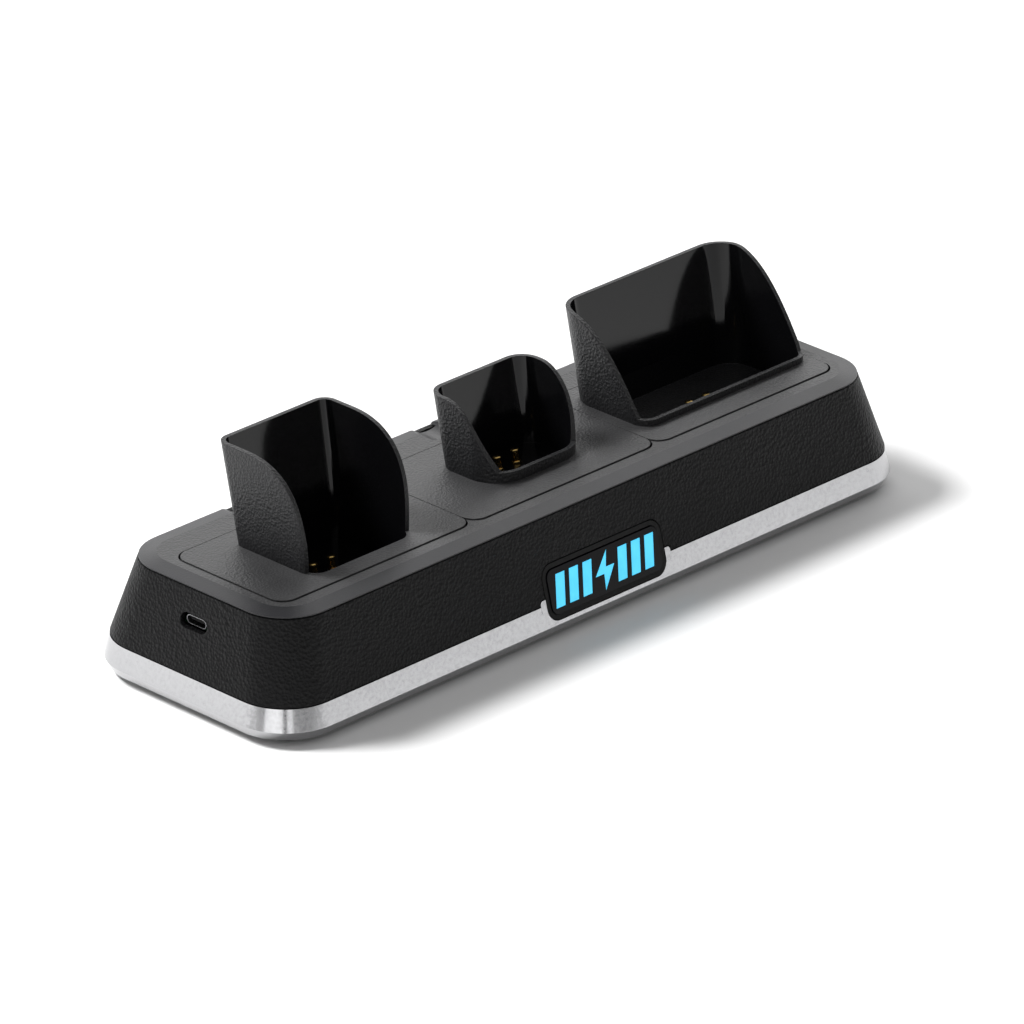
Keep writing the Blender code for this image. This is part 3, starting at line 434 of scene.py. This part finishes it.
for word, cup in CUPS.items():
    middle_x = BAY_X[word] + cup["x"] * MM
    floor_z = cup["floor"] * MM
    under_z = floor_z - CUP_FLOOR
    top_z = TRAY_TOP_Z + cup["height"] * MM

    def cup_loop(bm, z, inset):
        """The cup's plan at height z: upright in the tray, leaning back above it."""
        rise = max(0.0, z - TRAY_TOP_Z)
        back = cup["back"] * MM + CUP_BACK_LEAN * rise - inset
        front = cup["front"] * MM + inset
        half_x = cup["half"] * MM + CUP_SIDE_FLARE * rise - inset
        return loop(bm, half_x, (back - front) / 2, cup["back_r"] * MM - inset, z,
                    (middle_x, (front + back) / 2), cup["front_r"] * MM - inset)

    bm = bmesh.new()
    skin(bm, [loop(bm, BAY_LENGTH / 2 - GAP / 2, BAY_HALF_Y - GAP, 5.7 * MM, z, (BAY_X[word], BAY_MID_Y))
              for z in (TRAY_BOTTOM_Z, TRAY_TOP_Z)])
    tray = piece("tray_%s_moulding" % word, bm, [deck_black, cup_grain, gloss_black])

    bm = bmesh.new()
    skin(bm, [cup_loop(bm, z, 0.0) for z in (under_z, TRAY_TOP_Z, top_z)])
    outer = piece("cup_outer", bm, [deck_black, cup_grain, gloss_black])
    for face in outer.data.polygons:
        face.material_index = 1

    curve = swept_curve(cup["curve"])
    lip_z = TRAY_TOP_Z + cup["lip"] * MM
    bm = bmesh.new()
    side = [bm.verts.new((middle_x - 60 * MM, p.x * MM, TRAY_TOP_Z + p.y * MM)) for p in curve]
    if abs(side[-1].co.z - lip_z) > 0.01 * MM:
        side.append(bm.verts.new((middle_x - 60 * MM, side[-1].co.y, lip_z)))
    for y, z in ((-60 * MM, lip_z), (-60 * MM, top_z + 9 * MM), (side[0].co.y, top_z + 9 * MM)):
        side.append(bm.verts.new((middle_x - 60 * MM, y, z)))
    end = bm.faces.new(side)
    swept = bmesh.ops.extrude_face_region(bm, geom=[end])["geom"]
    moved = [v for v in swept if isinstance(v, bmesh.types.BMVert)]
    bmesh.ops.translate(bm, verts=moved, vec=(120 * MM, 0, 0))
    carve(outer, piece("cup_sweep", bm, [deck_black, cup_grain, gloss_black]))
    for face in outer.data.polygons:
        face.material_index = 1
    carve(tray, outer, "UNION")

    bm = bmesh.new()
    skin(bm, [cup_loop(bm, z, CUP_WALL) for z in (floor_z, TRAY_TOP_Z, top_z + 2 * MM)])
    hollow = piece("cup_hollow", bm, [deck_black, cup_grain, gloss_black])
    for face in hollow.data.polygons:
        face.material_index = 2
        if word == "right" and face.center.z < floor_z + 0.01 * MM:
            face.material_index = 1
    carve(tray, hollow)
    for side_sign in (-1, 1):
        well = rod(0.0, 0.0, -7 * MM, 4 * MM, WELL_R, 32)
        spot = (middle_x + side_sign * CONTACT_SPACING / 2, cup["contact_y"] * MM, floor_z)
        place = Matrix.Translation(spot) @ Matrix.Rotation(-CONTACT_LEAN, 4, "X")
        bmesh.ops.transform(well, matrix=place, verts=well.verts[:])
        carve(tray, piece("contact_well", well, []))
    tidy(tray, crease=9.0)
    soften(tray, 0.35 * MM, 3, 33.0)
    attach(tray, "tray_" + word)
    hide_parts("tray_" + word)

# ---- Sprung charging contacts ----
# Gold-plated pins in flanged barrels. Each pin has a domed head and slides in its barrel
# on a spring, leaning back with the tool that rests on it.
PIN_R = 1.1 * MM
PIN_HEAD_R = 1.5 * MM
PIN_HEIGHT = 4.8 * MM
PIN_DEPTH = 2.6 * MM
PIN_HEAD_THICK = 0.7 * MM
BARREL_BORE = 1.22 * MM
BARREL_R = 1.62 * MM
BARREL_PROUD = 0.7 * MM
BARREL_DEPTH = 6.2 * MM
gold = plated("gold plating", (0.86, 0.6, 0.22), 0.2, 0.003 * MM)


def spun(name, outline, look, steps=32):
    """Turn an (r, z) outline about the upright axis."""
    bm = bmesh.new()
    points = [bm.verts.new((r, 0.0, z)) for r, z in outline]
    edges = [bm.edges.new(pair) for pair in zip(points, points[1:])]
    bmesh.ops.spin(bm, geom=points + edges, cent=(0, 0, 0), axis=(0, 0, 1), angle=2 * math.pi,
                   steps=steps, use_merge=True)
    bmesh.ops.remove_doubles(bm, verts=bm.verts[:], dist=0.001 * MM)
    return piece(name, bm, [look], crease=35.0)


head_z = PIN_HEIGHT - PIN_HEAD_THICK
pin_outline = [(0.0, -PIN_DEPTH), (PIN_R - 0.2 * MM, -PIN_DEPTH), (PIN_R, 0.2 * MM - PIN_DEPTH),
               (PIN_R, head_z - 0.1 * MM), (PIN_HEAD_R - 0.08 * MM, head_z),
               (PIN_HEAD_R, head_z + 0.12 * MM), (PIN_HEAD_R, head_z + 0.3 * MM),
               (PIN_HEAD_R - 0.12 * MM, head_z + 0.47 * MM), (PIN_HEAD_R - 0.4 * MM, head_z + 0.61 * MM),
               (PIN_HEAD_R - 0.8 * MM, head_z + 0.68 * MM), (0.0, PIN_HEIGHT)]
barrel_outline = [(0.0, -BARREL_DEPTH), (BARREL_R - 0.2 * MM, -BARREL_DEPTH),
                  (BARREL_R, 0.2 * MM - BARREL_DEPTH), (BARREL_R, BARREL_PROUD - 0.15 * MM),
                  (BARREL_R - 0.12 * MM, BARREL_PROUD),
                  (BARREL_BORE + 0.08 * MM, BARREL_PROUD), (BARREL_BORE, BARREL_PROUD - 0.1 * MM),
                  (BARREL_BORE, 0.6 * MM - BARREL_DEPTH), (0.0, 0.6 * MM - BARREL_DEPTH)]
for word, cup in CUPS.items():
    for number, side_sign in ((1, -1), (2, 1)):
        tag = "%s_%d" % (word, number)
        pin_x = BAY_X[word] + cup["x"] * MM + side_sign * CONTACT_SPACING / 2
        spot = (pin_x, cup["contact_y"] * MM, cup["floor"] * MM)
        place = Matrix.Translation(spot) @ Matrix.Rotation(-CONTACT_LEAN, 4, "X")
        pin = spun("pin_" + tag, pin_outline, gold)
        sleeve = spun("sleeve_" + tag, barrel_outline, gold)
        for thing, node, body in ((pin, "plunger_" + tag, "contact_" + tag),
                                  (sleeve, "barrel_" + tag, "tray_" + word)):
            thing.data.transform(place)
            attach(thing, body)
            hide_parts(node)

# ---- Badge ----
# A black frame snaps into the front opening and holds a gloss window. The marks are the
# raised faces of a clear guide behind the window, lit cyan from the diode board.
glow_paint = bpy.data.materials.new("lit cyan guide")
glow_paint.use_nodes = True
tree = glow_paint.node_tree
shader = tree.nodes["Principled BSDF"]
shader.inputs["Roughness"].default_value = 0.35
shader.inputs["Emission Strength"].default_value = 0.7
where = tree.nodes.new("ShaderNodeTexCoord")
haze = tree.nodes.new("ShaderNodeTexNoise")
haze.inputs["Scale"].default_value = 220.0
haze.inputs["Detail"].default_value = 3.0
cyan = tree.nodes.new("ShaderNodeMixRGB")
cyan.inputs["Color1"].default_value = (0.05, 0.5, 0.78, 1.0)
cyan.inputs["Color2"].default_value = (0.09, 0.62, 0.9, 1.0)
tree.links.new(where.outputs["Object"], haze.inputs["Vector"])
tree.links.new(haze.outputs["Fac"], cyan.inputs["Fac"])
tree.links.new(cyan.outputs["Color"], shader.inputs["Emission Color"])
tree.links.new(cyan.outputs["Color"], shader.inputs["Base Color"])

matte_black = moulded(
    "matte black plastic", (0.008, 0.008, 0.008), 0.6, 0.4 * MM, 0.02 * MM, specular=0.2)
window_black = moulded(
    "gloss black window", (0.003, 0.003, 0.004), 0.07, 3.0 * MM, 0.001 * MM, specular=0.12, patch=0.1)


def refined(name, node, look, width, body, crease=12.0):
    """A welded copy of a plain part with its edges rounded."""
    bm = bmesh.new()
    bm.from_mesh(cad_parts[node].data)
    bmesh.ops.remove_doubles(bm, verts=bm.verts[:], dist=0.002 * MM)
    bmesh.ops.dissolve_limit(bm, angle_limit=math.radians(0.6), verts=bm.verts[:], edges=bm.edges[:])
    for face in bm.faces:
        face.material_index = 0
    made = piece(name, bm, [look], crease)
    soften(made, width, 2)
    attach(made, body)
    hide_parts(node)
    return made


BADGE_LOOKS = (("badge_border", matte_black), ("badge_window", window_black), ("light_guide", glow_paint))
for node, look in BADGE_LOOKS:
    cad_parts[node].data.materials.clear()
    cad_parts[node].data.materials.append(look)

# ---- Charging inlet ----
# A folded steel shell set back in the left end wall, with a black tongue inside.
steel = plated("zinc-plated steel", (0.32, 0.32, 0.33), 0.3, 0.004 * MM)
refined("inlet_can", "inlet_shell", steel, 0.08 * MM, "base", 25.0)
refined("inlet_blade", "inlet_tongue", matte_black, 0.06 * MM, "base", 25.0)

# ---- Under and inside ----
# The bottom cover, its rubber feet and screws, the boards with their sockets and the blocks
# that carry the contacts: plain bought or moulded parts, each in its own finish.
rubber = moulded("black rubber", (0.014, 0.014, 0.014), 0.8, 0.3 * MM, 0.02 * MM, specular=0.3)
board_green = moulded("green circuit board", (0.02, 0.12, 0.05), 0.42, 1.6 * MM, 0.01 * MM)
diode_white = moulded("white diode", (0.8, 0.8, 0.75), 0.4, 0.5 * MM, 0.004 * MM, patch=0.06)
FINISHES = (
    ("foot_", rubber), ("cover_screw_", steel), ("board_screw_", steel), ("main_board", board_green),
    ("inlet_board", board_green), ("diode_board", board_green), ("badge_diode_", diode_white),
    ("contact_block_", matte_black), ("bay_socket_", matte_black), ("bottom_cover", matte_black))
for name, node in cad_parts.items():
    for start, look in FINISHES:
        if name.startswith(start):
            for finish in node.material_slots:
                finish.material = look

# ---- Studio ----
# A white sweep of floor, a soft key high on the left, a long soft card behind on the
# right that the deck reflects, and a dim room with a few bright strips.
scene = bpy.context.scene
scene.view_settings.view_transform = "Standard"
FLOOR_HALF = 4.0
bm = bmesh.new()
bmesh.ops.create_grid(bm, x_segments=1, y_segments=1, size=FLOOR_HALF)
paper = bpy.data.materials.new("white paper")
paper.use_nodes = True
paper.node_tree.nodes["Principled BSDF"].inputs["Base Color"].default_value = (0.86, 0.86, 0.86, 1.0)
paper.node_tree.nodes["Principled BSDF"].inputs["Roughness"].default_value = 0.9
paper.node_tree.nodes["Principled BSDF"].inputs["Specular IOR Level"].default_value = 0.0
floor = piece("floor", bm, [paper])

VIEW_AZIMUTH = math.radians(-45.305)
VIEW_ELEVATION = math.radians(25.239)
target = Vector((0.0, 0.0, 13.2 * MM))
back = Vector((math.sin(VIEW_AZIMUTH) * math.cos(VIEW_ELEVATION),
               -math.cos(VIEW_AZIMUTH) * math.cos(VIEW_ELEVATION),
               math.sin(VIEW_ELEVATION)))
right = Vector((math.cos(VIEW_AZIMUTH), math.sin(VIEW_AZIMUTH), 0.0))
away = Vector((-back.x, -back.y, 0.0)).normalized()


def aim(thing, place, look_at):
    thing.location = place
    thing.rotation_euler = (Vector(look_at) - Vector(place)).to_track_quat("-Z", "Y").to_euler()


def soft_light(name, place, look_at, width, height, power, seen_in_gloss=True):
    lamp = bpy.data.lights.new(name, "AREA")
    lamp.shape = "RECTANGLE"
    lamp.size = width
    lamp.size_y = height
    lamp.energy = power
    made = bpy.data.objects.new(name, lamp)
    scene.collection.objects.link(made)
    aim(made, place, look_at)
    made.visible_camera = False
    made.visible_glossy = seen_in_gloss
    return made


soft_light("key", right * -1.35 + away * 0.3 + Vector((0, 0, 1.65)), (0, 0, 0), 0.6, 0.6, 66.0, False)
soft_light("deck card", away * 1.3 + right * 0.15 + Vector((0, 0, 0.72)), (0.0, 0, 0.04), 2.2, 0.9, 11.5)

# The room round the stand: dim, lighter at the left end, with white panels and dark gaps
# beside the viewer that the plated corner shows. Each stop is (degrees round, brightness).
ROOM_STOPS = (
    (-180, 0.3), (-120, 0.6), (-95, 1.0), (-80, 0.5), (-72, 0.04), (-64, 0.05), (-40, 0.22), (-36, 2.0),
    (-6, 2.0), (-4, 0.03), (1, 0.03), (3, 1.6), (11, 1.6), (14, 0.5), (62, 0.14), (68, 0.02), (78, 0.02),
    (84, 0.3), (120, 0.35), (180, 0.3))
world = bpy.data.worlds.new("studio room")
world.use_nodes = True
scene.world = world
tree = world.node_tree
sky = tree.nodes["Background"]
where = tree.nodes.new("ShaderNodeTexCoord")
axes = tree.nodes.new("ShaderNodeSeparateXYZ")
tree.links.new(where.outputs["Generated"], axes.inputs["Vector"])
parts = []
for direction in (right, -away):
    dot = tree.nodes.new("ShaderNodeVectorMath")
    dot.operation = "DOT_PRODUCT"
    dot.inputs[1].default_value = direction
    tree.links.new(where.outputs["Generated"], dot.inputs[0])
    parts.append(dot)
turn = tree.nodes.new("ShaderNodeMath")
turn.operation = "ARCTAN2"
tree.links.new(parts[0].outputs["Value"], turn.inputs[0])
tree.links.new(parts[1].outputs["Value"], turn.inputs[1])
share = tree.nodes.new("ShaderNodeMapRange")
share.inputs["From Min"].default_value = -math.pi
share.inputs["From Max"].default_value = math.pi
panels = tree.nodes.new("ShaderNodeValToRGB")
stops = panels.color_ramp.elements
while len(stops) > 1:
    stops.remove(stops[-1])
for number, (degrees, glow) in enumerate(ROOM_STOPS):
    stop = stops[0] if number == 0 else stops.new((degrees + 180) / 360)
    stop.position = (degrees + 180) / 360
    stop.color = (glow, glow, glow, 1.0)
height = tree.nodes.new("ShaderNodeMapRange")
height.inputs["From Min"].default_value = 0.2
height.inputs["From Max"].default_value = 0.42
room = tree.nodes.new("ShaderNodeMixRGB")
room.inputs["Color2"].default_value = (0.34, 0.34, 0.34, 1.0)
tree.links.new(turn.outputs["Value"], share.inputs["Value"])
tree.links.new(share.outputs["Result"], panels.inputs["Fac"])
tree.links.new(axes.outputs["Z"], height.inputs["Value"])
tree.links.new(height.outputs["Result"], room.inputs["Fac"])
tree.links.new(panels.outputs["Color"], room.inputs["Color1"])
tree.links.new(room.outputs["Color"], sky.inputs["Color"])
sky.inputs["Strength"].default_value = 1.0

lens = bpy.data.cameras.new("studio camera")
lens.sensor_width = 36.0
lens.lens = 324.5
lens.shift_x = 0.00648
lens.shift_y = 0.02353
lens.clip_end = 50.0
camera = bpy.data.objects.new("studio camera", lens)
scene.collection.objects.link(camera)
camera.location = target + back * 3.0028
camera.rotation_euler = back.to_track_quat("Z", "Y").to_euler()
scene.camera = camera
